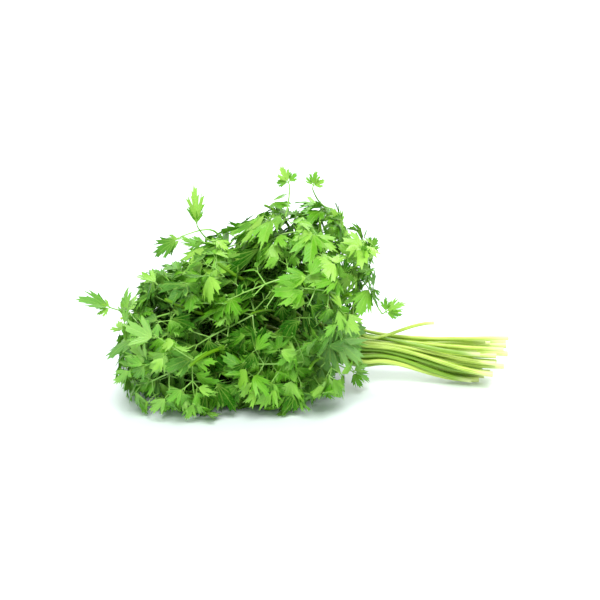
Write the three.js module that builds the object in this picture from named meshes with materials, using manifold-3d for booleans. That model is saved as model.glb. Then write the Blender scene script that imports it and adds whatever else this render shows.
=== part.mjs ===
// A bunch of cut flat-leaf parsley, lying on its side.
// Thirty sprigs are gathered at a neck. To the right of it their bare stems run out to the cut ends, and to the
// left their leaves open into a mound that rests on the surface.
// Millimetres. +X runs along the stems to the cut ends, -Y is the front, +Z is up. The origin is the middle of
// the bunch's outline on the surface that it lies on.
import * as THREE from "three";
import { mergeVertices } from "three/addons/utils/BufferGeometryUtils.js";
import Module from "manifold-3d";

const { Vector2, Vector3 } = THREE;
const wasm = await Module();
wasm.setup();

// ---- Driving dimensions ----

const SPRIGS = 30;
const GOLDEN_ANGLE = 137.508;

// The mound of leaves, flat underneath, rises from its far end towards the neck, where its underside is tucked
// up. `boxy` is 2 for an ellipsoid and more for squarer shoulders.
const MOUND = { x: -37, z: 40, long: 89, wide: 83, high: 82, low: 55, boxy: 3, turned_back: 152 };
const SLOPE = { rise: 0.4, tuck: 0.5 };
// Its leaves lie on nested layers, one to a sprig, from a reach of 1 inwards. They are smaller by a share next to
// the neck, and where they lie on the surface the inner ones are stacked on the outer ones.
const LAYERS = { innermost: 0.68, stride: 17, first: 20, smaller: 0.45, stacked: 45 };

// The neck, where the stems are gathered tightest, and the cut ends.
const NECK = { x: 47, z: 24, radius: 12 };
const CUT = { x: 146, z: 19.5, spread: 1.5, twist: 50, uneven: 0.6, shortest: 24, slant: 0.45 };
const LOOSE_STEM = [89, -4, 47.5]; // where the topmost stem ends
const STEM = { thick: 3.5, thin: 2.0, sides: 6, steps: 8 };

// Branches of a leaf, flat: the length of the bare stalk, the size of the blade at its end, and the pairs of
// smaller branches that leave the stalk at a node, splayed to both sides.
const side = (at, splay, branch) => ({ at, splay, branch });
const leaflet = (stalk, blade) => ({ stalk, blade, pairs: [] });
const LOWER_BRANCH = { stalk: 24, blade: 34, pairs: [side(14, 67, leaflet(5, 23))] };
const LEAF = { stalk: 45, blade: 37, pairs: [side(0, 66, LOWER_BRANCH), side(36, 67, leaflet(13, 31))] };
const SHOOT = { stalk: 0.3, blade: 0.7, pairs: [side(0.14, 70, leaflet(0.18, 0.5))] };
const LEAF_MIDDLE = 32; // along the stalk, the point of the leaf that is set in its place
const LEAF_THICK = 0.8;
// One leaf and one stem are a little thinner or thicker than the others, by this much on each face.
const ODD_LEAF = { sprig: 15, grow: -0.03 };
const ODD_STEM = { sprig: 27, grow: 0.04 };
const STALK_WIDTH = 1.7;
const GAP = 0.3; // between neighbours

// Half the outline of a three-lobed blade one unit long: its base, its side lobe, the notch and the shoulder of
// the middle lobe.
const HALF_BLADE = [
  [0.0, 0.04],
  [0.42, 0.48],
  [0.46, 0.3],
  [0.8, 0.3],
];

// Side shoots that stand out of the mound: where each one's blades begin, where they end, and what they face.
const SHOOTS = [
  { base: [-7, 7, 133], tip: [-13, 8, 149], facing: [0.2, -1, 0.3] },
  { base: [8, 6, 131], tip: [13, 6, 147], facing: [-0.3, -1, 0.2] },
  { base: [-68, 4, 112], tip: [-72, 6, 138], facing: [0.8, -0.6, 0] },
  { base: [-78, 0, 106], tip: [-103, 0, 90], facing: [-0.2, -0.7, 1] },
  { base: [-126, -14, 55], tip: [-147, -20, 60], facing: [-0.2, -0.8, 0.5] },
  { base: [54, -14, 54], tip: [71, -16, 64], facing: [0, -1, 0.3] },
  { base: [15, -33, 47], tip: [46, -30, 25], facing: [0.2, -1, 0.5] },
  { base: [32, -20, 17], tip: [52, -22, 6], facing: [0.3, -1, 0.5] },
];
const SHOOT_STALK = { thick: 1.5, sides: 5 };

// ---- The growth rule ----

const radians = THREE.MathUtils.degToRad;

// What scatter() varies from sprig to sprig.
const TRAIT = { size: 2, length: 3, side: 4, height: 5, aim: 8 };

/** A number from 0 to 1 that is always the same for one sprig and one trait. */
function scatter(sprig, trait) {
  const wave = Math.sin((sprig + 1) * 12.9898 + (trait + 1) * 78.233) * 43758.5453;
  return wave - Math.floor(wave);
}

/** How much the mound's height or depth grows per millimetre along it, above or below its middle. */
const slopeAt = (along, up) => (up > 0 ? SLOPE.rise : along > 0 ? -SLOPE.tuck : 0);

/** How high or how deep the mound is at a place along it, above or below its middle. */
const heightAt = (along, up) => (up > 0 ? MOUND.high : MOUND.low) + slopeAt(along, up) * along;

/** A place seen from the mound's middle, in shares of the mound's half sizes. */
function inMound(point) {
  const along = point.x - MOUND.x;
  const up = point.z - MOUND.z;
  return new Vector3(along / MOUND.long, point.y / MOUND.wide, up / heightAt(along, up));
}

/** The point at those shares. */
function outOfMound(share) {
  const along = share.x * MOUND.long;
  return new Vector3(MOUND.x + along, share.y * MOUND.wide, MOUND.z + share.z * heightAt(along, share.z));
}

/** The point of a layer that lies in the direction of some shares. */
function onLayer(share, reach) {
  const [x, y, z] = share.toArray().map((part) => Math.abs(part) ** MOUND.boxy);
  return outOfMound(share.multiplyScalar(reach / (x + y + z) ** (1 / MOUND.boxy)));
}

/** The outward direction of the layer that a point lies on. */
function outward(point) {
  const share = inMound(point);
  const [x, y, z] = share.toArray().map((part) => Math.sign(part) * Math.abs(part) ** (MOUND.boxy - 1));
  const along = point.x - MOUND.x;
  const high = heightAt(along, share.z);
  const slope = (slopeAt(along, share.z) * share.z) / high;
  return new Vector3(x / MOUND.long - z * slope, y / MOUND.wide, z / high).normalize();
}

/** Moves a point up where it would pass through the surface that the bunch lies on. */
function restOnSurface(point, lowest) {
  const softness = 5;
  const above = (point.z - lowest) / softness;
  point.z = lowest + softness * (above > 30 ? above : Math.log1p(Math.exp(above)));
  return point;
}

/** A sprig's place in the mound: its layer, the middle of its leaf, and the way that the leaf points. */
function placeSprig(i) {
  const share = (i + 0.5) / SPRIGS;
  const lat = Math.acos(1 - share * (1 - Math.cos(radians(MOUND.turned_back))));
  const turn = radians(i * GOLDEN_ANGLE);
  const reach = 1 - (1 - LAYERS.innermost) * (((LAYERS.first + i * LAYERS.stride) % SPRIGS) / SPRIGS);
  const round = new Vector3(-Math.cos(lat), -Math.sin(lat) * Math.sin(turn), Math.sin(lat) * Math.cos(turn));
  const centre = onLayer(round, reach);
  const normal = outward(centre);
  const heading = centre.clone().sub(new Vector3(NECK.x, 0, NECK.z)).normalize();
  heading.z -= 0.4;
  heading.addScaledVector(normal, -heading.dot(normal)).normalize();
  heading.applyAxisAngle(normal, radians(60 * (scatter(i, TRAIT.aim) - 0.5)));
  const size = (0.66 + 0.34 * reach) * (0.96 + 0.14 * scatter(i, TRAIT.size)) * (1 - LAYERS.smaller * share ** 4);
  return { i, lat, turn, reach, centre, normal, heading, size };
}

/** A place on the flat leaf, as a point of the leaf draped over its layer, and the way that it faces there. */
function drape(sprig, along, across) {
  const left = new Vector3().crossVectors(sprig.normal, sprig.heading);
  const flat = sprig.centre.clone().addScaledVector(sprig.heading, (along - LEAF_MIDDLE) * sprig.size);
  const point = onLayer(inMound(flat.addScaledVector(left, across * sprig.size)), sprig.reach);
  const face = outward(point);
  return { point: restOnSurface(point, LEAF_THICK / 2 + (1 - sprig.reach) * LAYERS.stacked), face };
}

/** Where each stem passes the neck: as near its leaf's side of the bundle as the other stems leave room for. */
function gatherStems() {
  const furthest = 1 - Math.cos(radians(MOUND.turned_back));
  const places = sprigs.map(({ lat, turn }) => {
    const out = NECK.radius * Math.sqrt((1 - Math.cos(lat)) / furthest);
    return new Vector2(-out * Math.sin(turn), out * Math.cos(turn));
  });
  const apart = STEM.thick + 2 * GAP;
  const push = new Vector2();
  for (let round = 0; round < 200; round++) {
    for (let a = 0; a < places.length; a++) {
      for (let b = a + 1; b < places.length; b++) {
        push.subVectors(places[b], places[a]);
        const short = apart - push.length();
        if (short <= 0) continue;
        push.setLength(short / 2);
        places[b].add(push);
        places[a].sub(push);
      }
    }
  }
  return places;
}

/** A stem's line, in two Bezier legs: from the cut end to the neck, and from the neck to the leaf's first node. */
class StemPath extends THREE.Curve {
  constructor(sprig, place, loose) {
    super();
    const twisted = place.clone().rotateAround(new Vector2(), radians(CUT.twist)).multiplyScalar(CUT.spread);
    const below = NECK.radius * CUT.spread - twisted.y;
    const x = CUT.x - CUT.slant * below - CUT.shortest * scatter(sprig.i, TRAIT.length) ** 1.5;
    const [y, z] = [TRAIT.side, TRAIT.height].map((trait) => (2 * scatter(sprig.i, trait) - 1) * CUT.uneven);
    const cut = loose ? new Vector3(...LOOSE_STEM) : new Vector3(x, twisted.x + y, CUT.z + twisted.y + z);
    const neck = new Vector3(NECK.x, place.x, NECK.z + place.y);
    const opening = new Vector3(-1, place.x * 0.018, place.y * 0.018).normalize();
    const root = drape(sprig, 0, 0);
    const arriving = root.face.addScaledVector(sprig.heading, 0.5).normalize();
    const first = (cut.x - NECK.x) / 3;
    const inwards = loose ? neck.clone().sub(cut).setLength(first) : new Vector3(-first, 0, 0);
    const second = neck.distanceTo(root.point) * 0.42;
    const end = root.point.clone().addScaledVector(arriving, -LEAF_THICK / 2 - GAP - STEM.thin / 2);
    this.legs = [
      new THREE.CubicBezierCurve3(
        cut,
        cut.clone().add(inwards),
        neck.clone().addScaledVector(opening, -first),
        neck,
      ),
      new THREE.CubicBezierCurve3(
        neck,
        neck.clone().addScaledVector(opening, second),
        end.clone().addScaledVector(arriving, -second),
        end,
      ),
    ];
  }
  getPoint(t, target = new Vector3()) {
    const leg = t < 0.5 ? this.legs[0] : this.legs[1];
    return restOnSurface(leg.getPoint(t < 0.5 ? 2 * t : 2 * t - 1, target), STEM.thick / 2 - 1);
  }
}

// ---- Solids ----

/** A closed three.js geometry as a solid that can be joined and cut. */
function solid(geometry) {
  geometry.deleteAttribute("normal");
  geometry.deleteAttribute("uv");
  const merged = mergeVertices(geometry, 1e-4);
  return new wasm.Manifold(
    new wasm.Mesh({
      numProp: 3,
      vertProperties: merged.attributes.position.array,
      triVerts: new Uint32Array(merged.index.array),
    }),
  );
}

/** A solid's largest body, so that no sliver that a cut leaves is kept. */
function largest(made) {
  return made.decompose().reduce((a, b) => (b.volume() > a.volume() ? b : a));
}

/** A round stalk along a path, which narrows from its first thickness to its last. */
function stalk(path, thick, thin, sides, steps, grow = 0) {
  const section = new THREE.Shape();
  for (let k = 0; k < sides; k++) {
    const angle = (k / sides) * 2 * Math.PI;
    section[k ? "lineTo" : "moveTo"](Math.cos(angle), Math.sin(angle));
  }
  const geometry = new THREE.ExtrudeGeometry(section, { extrudePath: path, steps, bevelEnabled: false });
  const rings = path.getSpacedPoints(steps);
  const at = geometry.attributes.position;
  const point = new Vector3();
  for (let v = 0; v < at.count; v++) {
    point.fromBufferAttribute(at, v);
    const ring = rings.reduce(
      (best, centre, k) => (centre.distanceToSquared(point) < rings[best].distanceToSquared(point) ? k : best),
      0,
    );
    const radius = THREE.MathUtils.lerp(thick, thin, ring / steps) / 2 + grow;
    point.sub(rings[ring]).multiplyScalar(radius).add(rings[ring]);
    at.setXYZ(v, point.x, point.y, point.z);
  }
  return solid(geometry);
}

/**
 * An outline extruded to a thin sheet, each of its points then moved to where spread() puts it. To make room for
 * it, the sheet can be thicker and its outline wider.
 */
function sheet(outline, spread, thicker = 0, wider = 0) {
  const geometry = new THREE.ExtrudeGeometry(new THREE.Shape(outline), { depth: 1, bevelEnabled: false });
  const at = geometry.attributes.position;
  for (let v = 0; v < at.count; v++) {
    const flat = new Vector2(at.getX(v), at.getY(v));
    const k = outline.findIndex((corner) => corner.distanceTo(flat) < 1e-4);
    const edge = outline[(k + 1) % outline.length].clone().sub(outline.at(k - 1)).setLength(wider);
    const { point, face } = spread(flat.x + edge.y, flat.y - edge.x);
    const lift = (at.getZ(v) - 0.5) * (LEAF_THICK + 2 * thicker);
    point.addScaledVector(face, lift);
    at.setXYZ(v, point.x, point.y, point.z);
  }
  return solid(geometry);
}

/** The flat outline of a branch and of all that grows on it, from the right edge of its base to the left one. */
function outline(branch, base, towards, width) {
  const place = (along, across) => new Vector2(along, across).rotateAround(new Vector2(), towards).add(base);
  const edge = (hand) => {
    const points = branch.pairs.map(({ at, splay, branch: smaller }) => [
      place(at + hand * width * 0.8, hand * width * 0.5),
      ...outline(smaller, place(at, hand * width * 0.3), towards + hand * radians(splay), width * 0.8),
      place(at - hand * width * 0.8, hand * width * 0.5),
    ]);
    const blade = HALF_BLADE.map(([along, across]) => {
      return place(branch.stalk + along * branch.blade, hand * across * branch.blade);
    });
    return { points, blade };
  };
  const [right, left] = [edge(-1), edge(1)];
  const tip = place(branch.stalk + branch.blade, 0);
  return [...right.points.flat(), ...right.blade, tip, ...left.blade.reverse(), ...left.points.reverse().flat()];
}

/** A sprig's leaf: one thin sheet, draped over its layer of the mound. */
function leafSheet(sprig, thicker = 0, wider = 0) {
  const spread = (along, across) => drape(sprig, along, across);
  return sheet(outline(LEAF, new Vector2(), 0, STALK_WIDTH), spread, thicker, wider / sprig.size);
}

/** A side shoot of a leaf: a thin stalk from the leaf's upper node, and a few small blades. */
function shootSolid(sprig, shoot, grow = 0) {
  const root = drape(sprig, LEAF.pairs[1].at, 0).point;
  const base = new Vector3(...shoot.base);
  const towards = new Vector3(...shoot.tip).sub(base);
  const length = towards.length();
  towards.normalize();
  const face = new Vector3(...shoot.facing);
  face.addScaledVector(towards, -face.dot(towards)).normalize();
  const left = new Vector3().crossVectors(face, towards);
  const spread = (along, across) => {
    const point = base.clone().addScaledVector(towards, along * length).addScaledVector(left, across * length);
    point.addScaledVector(face, -0.2 * across ** 2 * length);
    return { point: restOnSurface(point, LEAF_THICK / 2), face };
  };
  const node = base.clone().addScaledVector(towards, SHOOT.pairs[0].at * length);
  const bend = root.clone().lerp(node, 0.5).addScaledVector(towards, -length * 0.2);
  const line = new THREE.CatmullRomCurve3([root, bend, node]);
  const { thick, sides } = SHOOT_STALK;
  return stalk(line, thick, thick, sides, 3, grow).add(
    sheet(outline(SHOOT, new Vector2(), 0, STALK_WIDTH / length), spread, grow, grow / length),
  );
}

// ---- Assembly ----

const material = (color, roughness) => new THREE.MeshStandardMaterial({ color, roughness, metalness: 0 });
const STEM_GREEN = material(0xa4c455, 0.45);
const LEAF_GREEN = material(0x4f9a2a, 0.5);

/** A finished solid as a named mesh. */
function node(name, made, finish) {
  const { numProp, vertProperties, triVerts, numVert } = made.getMesh();
  const points = new Float32Array(numVert * 3);
  for (let v = 0; v < numVert; v++) points.set(vertProperties.subarray(v * numProp, v * numProp + 3), v * 3);
  const geometry = new THREE.BufferGeometry().setAttribute("position", new THREE.BufferAttribute(points, 3));
  geometry.setIndex(new THREE.BufferAttribute(triVerts, 1));
  geometry.computeVertexNormals();
  const mesh = new THREE.Mesh(geometry, finish);
  mesh.name = name;
  return mesh;
}

/** True if two solids' boxes touch. */
function near(a, b) {
  const p = a.boundingBox();
  const q = b.boundingBox();
  return [0, 1, 2].every((k) => p.min[k] <= q.max[k] && q.min[k] <= p.max[k]);
}

/** A solid less every neighbour that reaches it. */
function clearOf(made, neighbours) {
  return neighbours.filter((other) => near(made, other)).reduce((a, b) => a.subtract(b), made);
}

const sprigs = Array.from({ length: SPRIGS }, (_, i) => placeSprig(i));
const places = gatherStems();
const topmost = places.reduce((best, place) => (place.y > best.y ? place : best));
const paths = places.map((place, i) => new StemPath(sprigs[i], place, place === topmost));
const stemAlong = (path, grow) => stalk(path, STEM.thick, STEM.thin, STEM.sides, STEM.steps, grow);
const roomForStems = paths.map((path) => stemAlong(path, GAP));
const shoots = [];
SHOOTS.forEach((shoot) => {
  const far = (sprig) => drape(sprig, LEAF.pairs[1].at, 0).point.distanceTo(new Vector3(...shoot.base));
  const sprig = sprigs.reduce((best, other) => (far(other) < far(best) ? other : best));
  const others = shoots.filter((other) => other.sprig !== sprig).map((other) => other.room);
  const made = clearOf(shootSolid(sprig, shoot), [...roomForStems, ...others]);
  shoots.push({ sprig, made, room: shootSolid(sprig, shoot, GAP) });
});
const roomForLeaves = [];
const bunch = new THREE.Group();

sprigs.forEach((sprig, i) => {
  const number = String(i + 1).padStart(2, "0");
  const others = shoots.filter((shoot) => shoot.sprig !== sprig).map((shoot) => shoot.room);
  const own = shoots.filter((shoot) => shoot.sprig === sprig).map((shoot) => shoot.made);
  const flat = leafSheet(sprig, i === ODD_LEAF.sprig ? ODD_LEAF.grow : 0);
  const rod = stemAlong(paths[i], i === ODD_STEM.sprig ? ODD_STEM.grow : 0);
  const leaf = clearOf(flat, [...roomForStems, ...roomForLeaves, ...others]);
  const stem = clearOf(rod, roomForStems.slice(0, i));
  bunch.add(node("stem_" + number, largest(stem), STEM_GREEN));
  bunch.add(node("leaf_" + number, largest(own.reduce((whole, shoot) => whole.add(shoot), leaf)), LEAF_GREEN));
  roomForLeaves.push(leafSheet(sprig, GAP, GAP), leafSheet(sprig, GAP));
});

// The origin is set under the middle of the finished bunch.
const box = new THREE.Box3().setFromObject(bunch);
const middle = box.getCenter(new Vector3());
bunch.children.forEach((mesh) => mesh.position.set(-middle.x, -middle.y, -box.min.z));

export default bunch;
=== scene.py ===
"""A bunch of cut flat-leaf parsley, lying on its side on a pale surface.

Thirty sprigs grow by one rule. Their bare stems run to the right, from the neck of the bunch to the
cut ends. Their leaves open to the left of the neck and lie on nested layers of a mound. The rule
works in millimetres, in its own place, and Shift carries it to the frame, in metres.
"""

import logging
import math
from collections.abc import Callable, Iterator, Sequence
from contextlib import contextmanager
from dataclasses import dataclass, field
from enum import Enum

import bpy
import numpy as np
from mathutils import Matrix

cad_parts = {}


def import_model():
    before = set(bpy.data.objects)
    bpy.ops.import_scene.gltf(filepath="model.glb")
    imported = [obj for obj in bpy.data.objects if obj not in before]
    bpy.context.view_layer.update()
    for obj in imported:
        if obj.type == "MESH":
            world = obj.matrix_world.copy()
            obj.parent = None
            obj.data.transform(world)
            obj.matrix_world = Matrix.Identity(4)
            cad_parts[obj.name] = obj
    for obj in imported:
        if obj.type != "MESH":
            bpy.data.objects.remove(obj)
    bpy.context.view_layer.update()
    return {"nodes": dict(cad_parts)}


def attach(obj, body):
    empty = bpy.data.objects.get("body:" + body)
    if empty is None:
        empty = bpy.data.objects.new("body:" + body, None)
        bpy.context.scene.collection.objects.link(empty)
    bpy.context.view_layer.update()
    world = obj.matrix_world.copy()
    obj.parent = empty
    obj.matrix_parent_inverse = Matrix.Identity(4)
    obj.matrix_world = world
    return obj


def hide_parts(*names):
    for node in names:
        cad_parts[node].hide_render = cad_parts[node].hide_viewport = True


log = logging.getLogger("parsley")

Vector = np.ndarray
Chance = np.random.Generator
Span = tuple[float, float]
Place = tuple[float, float, float]
Colour = tuple[float, float, float, float]
Run = tuple[Vector, Vector]
Thing = bpy.types.Object
Socket = bpy.types.NodeSocket
Value = float | Sequence[float] | Socket

MM = 0.001
TINY = 1e-12
SPRIGS = 30
GOLDEN_ANGLE = 137.508
FULL_TURN = 6.3
UP = np.array([0.0, 0.0, 1.0])


# ---- Small helpers ----


def unit(vector: Vector) -> Vector:
    """Gives the vector's direction, one long."""
    return vector / max(float(np.linalg.norm(vector)), TINY)


def square_to(vector: Vector, axis: Vector) -> Vector:
    """Gives the direction of the part of a vector that is square to an axis.

    Args:
        vector: Any vector.
        axis: A direction, one long.

    Returns:
        A direction, one long, at right angles to the axis.
    """
    return unit(vector - axis * float(vector @ axis))


def turned(vector: Vector, axis: Vector, angle: float) -> Vector:
    """Turns a vector about an axis.

    Args:
        vector: The vector to turn.
        axis: The direction to turn about, one long.
        angle: How far, in radians.

    Returns:
        The turned vector.
    """
    cos, sin = math.cos(angle), math.sin(angle)
    return vector * cos + np.cross(axis, vector) * sin + axis * float(axis @ vector) * (1 - cos)


def resting(points: Vector, lowest: float, softness: float = 5.0) -> Vector:
    """Lifts points that would pass through the surface that the bunch lies on.

    Args:
        points: One point or rows of points, in millimetres above the surface.
        lowest: The height that no point goes under.
        softness: How gently the points come to rest.

    Returns:
        The points, lifted where they have to be.
    """
    rested = np.array(points, dtype=float)
    above = (rested[..., 2] - lowest) / softness
    rested[..., 2] = lowest + softness * np.logaddexp(0.0, above)
    return rested


def smoothstep(low: float, high: float, value: float | Vector) -> float | Vector:
    """Goes smoothly from 0 at low to 1 at high."""
    share = np.clip((value - low) / (high - low), 0.0, 1.0)
    return share * share * (3 - 2 * share)


def select_only(*pieces: Thing) -> None:
    """Selects these pieces and nothing else.

    Args:
        *pieces: The pieces, the one to make active first.
    """
    bpy.ops.object.select_all(action="DESELECT")
    for piece in pieces:
        piece.select_set(True)
    bpy.context.view_layer.objects.active = pieces[0]


@contextmanager
def edit_mode() -> Iterator[None]:
    """Works on the active piece in edit mode."""
    bpy.ops.object.mode_set(mode="EDIT")
    yield
    bpy.ops.object.mode_set(mode="OBJECT")


def seal(piece: Thing, gap: float = 1e-6) -> None:
    """Joins the points of a piece that lie on each other and turns its faces outwards.

    Args:
        piece: The piece.
        gap: How far apart joined points may be, in its own units.
    """
    select_only(piece)
    with edit_mode():
        bpy.ops.mesh.select_all(action="SELECT")
        bpy.ops.mesh.remove_doubles(threshold=gap)
        bpy.ops.mesh.normals_make_consistent(inside=False)


def smooth(below: float) -> None:
    """Smooths the active piece's edges that are blunter than an angle in degrees."""
    bpy.ops.object.shade_smooth_by_angle(angle=math.radians(below))


def draw_along(
    name: str, runs: Sequence[Run], finish: bpy.types.Material, **bevel: object
) -> Thing:
    """Draws one closed mesh along one or more lines.

    Args:
        name: The mesh's name.
        runs: For each line, its points in metres and the share of the bevel's size at each.
        finish: The mesh's material.
        **bevel: The settings of the curve that say what is drawn along it.

    Returns:
        The mesh.
    """
    curve = bpy.data.curves.new(name, "CURVE")
    curve.dimensions = "3D"
    for setting, value in bevel.items():
        setattr(curve, setting, value)
    curve.use_fill_caps = True
    for points, radii in runs:
        spline = curve.splines.new("POLY")
        spline.points.add(len(points) - 1)
        spline.points.foreach_set("co", np.hstack([points, np.ones((len(points), 1))]).ravel())
        spline.points.foreach_set("radius", np.asarray(radii, dtype=float))
    drawn = bpy.data.objects.new(name, curve)
    bpy.context.collection.objects.link(drawn)
    select_only(drawn)
    bpy.ops.object.convert(target="MESH")
    drawn = bpy.context.object
    drawn.data.materials.clear()
    drawn.data.materials.append(finish)
    seal(drawn)
    return drawn


def write_attribute(mesh: bpy.types.Mesh, name: str, values: Vector | float) -> None:
    """Writes a number for each of a mesh's points, for its material to read.

    Args:
        mesh: The mesh.
        name: The attribute's name.
        values: One number per point, or one number for all of them.
    """
    attribute = mesh.attributes.get(name) or mesh.attributes.new(name, "FLOAT", "POINT")
    spread = np.ascontiguousarray(np.broadcast_to(values, len(mesh.vertices)), dtype=np.float32)
    attribute.data.foreach_set("value", spread)


def points_of(mesh: bpy.types.Mesh) -> Vector:
    """Gives a mesh's points as rows."""
    flat = np.empty(len(mesh.vertices) * 3)
    mesh.vertices.foreach_get("co", flat)
    return flat.reshape(-1, 3)


# ---- The growth rule ----


class Trait(Enum):
    """What the growth rule varies from sprig to sprig."""

    SIZE = 2
    LENGTH = 3
    SIDE = 4
    HEIGHT = 5
    AIM = 8

    def of(self, sprig: int) -> float:
        """Gives a sprig's own number for this trait, from 0 to 1, which is always the same."""
        per_sprig, per_trait, height = 12.9898, 78.233, 43758.5453
        wave = math.sin((sprig + 1) * per_sprig + (self.value + 1) * per_trait) * height
        return wave - math.floor(wave)


@dataclass(frozen=True)
class Mound:
    """The mound of leaves: nested rounded layers that rise towards the neck and tuck under it."""

    x: float = -37.0
    z: float = 40.0
    long: float = 89.0
    wide: float = 83.0
    high: float = 82.0
    low: float = 55.0
    rise: float = 0.4
    tuck: float = 0.5
    boxy: float = 3.0
    turned_back: float = 152.0
    innermost: float = 0.68
    stride: int = 17
    first: int = 20
    lowest: float = 0.4
    stacked: float = 45.0

    def slope_at(self, along: float, up: float) -> float:
        """Gives how much the mound's height or depth grows per millimetre along it."""
        if up > 0:
            return self.rise
        return -self.tuck if along > 0 else 0.0

    def height_at(self, along: float, up: float) -> float:
        """Gives the mound's height or depth at a place along it."""
        return (self.high if up > 0 else self.low) + self.slope_at(along, up) * along

    def shares(self, point: Vector) -> Vector:
        """Gives a point's place as shares of the mound's half sizes."""
        along, up = float(point[0]) - self.x, float(point[2]) - self.z
        return np.array([along / self.long, point[1] / self.wide, up / self.height_at(along, up)])

    def point_at(self, share: Vector) -> Vector:
        """Gives the point at those shares."""
        along = float(share[0]) * self.long
        height = self.height_at(along, float(share[2]))
        return np.array([self.x + along, share[1] * self.wide, self.z + share[2] * height])

    def on_layer(self, share: Vector, reach: float) -> Vector:
        """Gives the point of a layer in the direction of some shares."""
        length = float((np.abs(share) ** self.boxy).sum()) ** (1 / self.boxy)
        return self.point_at(share * reach / length)

    def outward(self, point: Vector) -> Vector:
        """Gives the outward direction of the layer that a point lies on.

        Args:
            point: The point, in millimetres.

        Returns:
            A direction, one long.
        """
        share = self.shares(point)
        x, y, z = np.sign(share) * np.abs(share) ** (self.boxy - 1)
        along = float(point[0]) - self.x
        high = self.height_at(along, float(share[2]))
        slope = self.slope_at(along, float(share[2])) * float(share[2]) / high
        return unit(np.array([x / self.long - z * slope, y / self.wide, z / high]))


@dataclass(frozen=True)
class Neck:
    """The place where the stems are gathered tightest."""

    x: float = 47.0
    z: float = 24.0
    radius: float = 12.0
    apart: float = 4.1
    rounds: int = 200

    def gather(self, sprigs: "Sequence[Sprig]") -> list[Vector]:
        """Finds where each stem passes the neck.

        Args:
            sprigs: All the sprigs, in order.

        Returns:
            A place across the neck for each, as near its leaf's side as the others leave room for.
        """
        furthest = 1 - math.cos(math.radians(sprigs[0].mound.turned_back))
        places = []
        for sprig in sprigs:
            out = self.radius * math.sqrt((1 - math.cos(sprig.lat)) / furthest)
            places.append(np.array([-out * math.sin(sprig.turn), out * math.cos(sprig.turn)]))
        for _ in range(self.rounds):
            for a in range(len(places)):
                for b in range(a + 1, len(places)):
                    self.push_apart(places, a, b)
        return places

    def push_apart(self, places: list[Vector], a: int, b: int) -> None:
        """Moves two stems' places apart where they are too close.

        Args:
            places: All the stems' places, which are changed.
            a: Which stem is the first.
            b: Which stem is the second.
        """
        push = places[b] - places[a]
        length = math.hypot(push[0], push[1])
        if length >= self.apart:
            return
        push = push * ((self.apart - length) / 2 / length)
        places[b] = places[b] + push
        places[a] = places[a] - push


@dataclass(frozen=True)
class LeafRule:
    """How large the leaves grow and which way they head."""

    dip: float = 0.4
    fan: float = 60.0
    inner: float = 0.66
    outer: float = 0.34
    least: float = 0.96
    varied: float = 0.14
    smaller: float = 0.45

    def size(self, index: int, reach: float, share: float) -> float:
        """Gives a leaf's size: larger on outer layers, and smaller towards the neck."""
        own = self.least + self.varied * Trait.SIZE.of(index)
        return (self.inner + self.outer * reach) * own * (1 - self.smaller * share**4)

    def heading(self, index: int, away: Vector, normal: Vector) -> Vector:
        """Gives the way that a leaf lies on its layer.

        Args:
            index: The leaf's sprig.
            away: The way from the neck to the leaf.
            normal: The way that the layer faces there.

        Returns:
            A direction in the layer, one long.
        """
        straight = square_to(unit(away) - self.dip * UP, normal)
        return turned(straight, normal, math.radians(self.fan * (Trait.AIM.of(index) - 0.5)))


@dataclass(frozen=True)
class Sprig:
    """One sprig's place in the mound, in millimetres."""

    index: int
    lat: float
    turn: float
    reach: float
    centre: Vector
    normal: Vector
    heading: Vector
    size: float
    mound: Mound
    middle: float = 32.0

    @property
    def number(self) -> str:
        """Gives the sprig's number as its nodes and pieces have it."""
        return f"{self.index + 1:02d}"

    @classmethod
    def grow(cls, index: int, mound: Mound, neck: Neck, rule: LeafRule) -> "Sprig":
        """Places a sprig by the growth rule.

        Args:
            index: Which sprig, from 0.
            mound: The mound that its leaf lies on.
            neck: Where its stem comes from.
            rule: How its leaf grows.

        Returns:
            The sprig.
        """
        share = (index + 0.5) / SPRIGS
        lat = math.acos(1 - share * (1 - math.cos(math.radians(mound.turned_back))))
        turn = math.radians(index * GOLDEN_ANGLE)
        layer = (mound.first + index * mound.stride) % SPRIGS
        reach = 1 - (1 - mound.innermost) * (layer / SPRIGS)
        sin = math.sin(lat)
        out = np.array([-math.cos(lat), -sin * math.sin(turn), sin * math.cos(turn)])
        centre = mound.on_layer(out, reach)
        normal = mound.outward(centre)
        heading = rule.heading(index, centre - np.array([neck.x, 0.0, neck.z]), normal)
        size = rule.size(index, reach, share)
        return cls(index, lat, turn, reach, centre, normal, heading, size, mound)

    def drape(
        self, along: float, across: float, sunk: float = 0.0, aim: float = 0.0
    ) -> tuple[Vector, Vector]:
        """Lays a place on the flat leaf onto the sprig's layer.

        Args:
            along: How far along the leaf's main stalk.
            across: How far to the left of it.
            sunk: How much further in the layer is, as a share of the mound.
            aim: How far the leaf is turned about its own face, in radians.

        Returns:
            The point and the way that the leaf faces there.
        """
        heading = turned(self.heading, self.normal, aim)
        left = np.cross(self.normal, heading)
        flat = self.centre + (heading * (along - self.middle) + left * across) * self.size
        reach = self.reach - sunk
        point = self.mound.on_layer(self.mound.shares(flat), reach)
        face = self.mound.outward(point)
        return resting(point, self.mound.lowest + (1 - reach) * self.mound.stacked), face


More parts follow.
